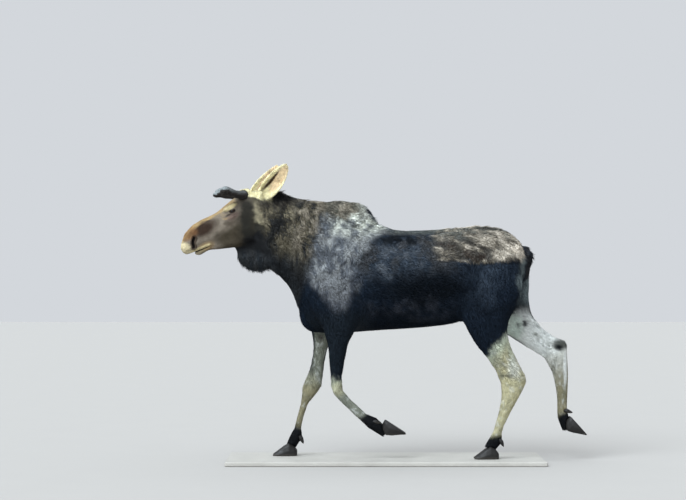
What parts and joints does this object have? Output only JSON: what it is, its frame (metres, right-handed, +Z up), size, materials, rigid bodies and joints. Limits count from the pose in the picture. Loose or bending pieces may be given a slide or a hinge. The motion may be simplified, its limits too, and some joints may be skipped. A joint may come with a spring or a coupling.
{
  "type": "moose",
  "caption": "Life-size young bull moose in velvet and spring moult, caught in mid-trot with one front and one hind foot lifted, on a flat display base.",
  "frame": {"origin": "middle of the underside of the display base, which is also the bottom centre of the model's box", "axes": "+Z up; the animal faces -X, and its left side faces -Y"},
  "size_m": [2.8524, 0.8, 2.0827],
  "materials": {
    "coat_dark": "short to medium hair, blue-black to dark brown, matt",
    "coat_neck": "medium hair, grey-brown, matt",
    "coat_face": "very short hair, grey-brown to rust brown, matt",
    "coat_pale": "short hair, pale grey to cream, matt",
    "coat_ear": "short hair, golden tan, matt",
    "velvet": "velvet over growing antler, dark grey, matt",
    "horn": "hoof horn, near black, satin",
    "eye": "dark brown, wet gloss",
    "board": "display base painted plain grey-white, matt"
  },
  "bodies": {
    "root": {"head": "coat_face", "jaw": "coat_face", "neck": "coat_neck", "trunk": "coat_dark", "bell": "coat_dark", "tail": "coat_dark", "leg_front_left_upper": "coat_dark", "leg_front_left_lower": "coat_pale", "hoof_front_left_outer": "horn", "dewclaw_front_left_outer": "horn", "hoof_front_left_inner": "horn", "dewclaw_front_left_inner": "horn", "leg_front_right_upper": "coat_dark", "leg_front_right_lower": "coat_pale", "hoof_front_right_outer": "horn", "dewclaw_front_right_outer": "horn", "hoof_front_right_inner": "horn", "dewclaw_front_right_inner": "horn", "leg_hind_left_upper": "coat_dark", "leg_hind_left_lower": "coat_pale", "hoof_hind_left_outer": "horn", "dewclaw_hind_left_outer": "horn", "hoof_hind_left_inner": "horn", "dewclaw_hind_left_inner": "horn", "leg_hind_right_upper": "coat_dark", "leg_hind_right_lower": "coat_pale", "hoof_hind_right_outer": "horn", "dewclaw_hind_right_outer": "horn", "hoof_hind_right_inner": "horn", "dewclaw_hind_right_inner": "horn", "ear_left": "coat_ear", "eye_left": "eye", "antler_left": "velvet", "antler_left_tine": "velvet", "ear_right": "coat_ear", "eye_right": "eye", "antler_right": "velvet", "antler_right_tine": "velvet", "stand_base": "board"}
  },
  "joints": []
}
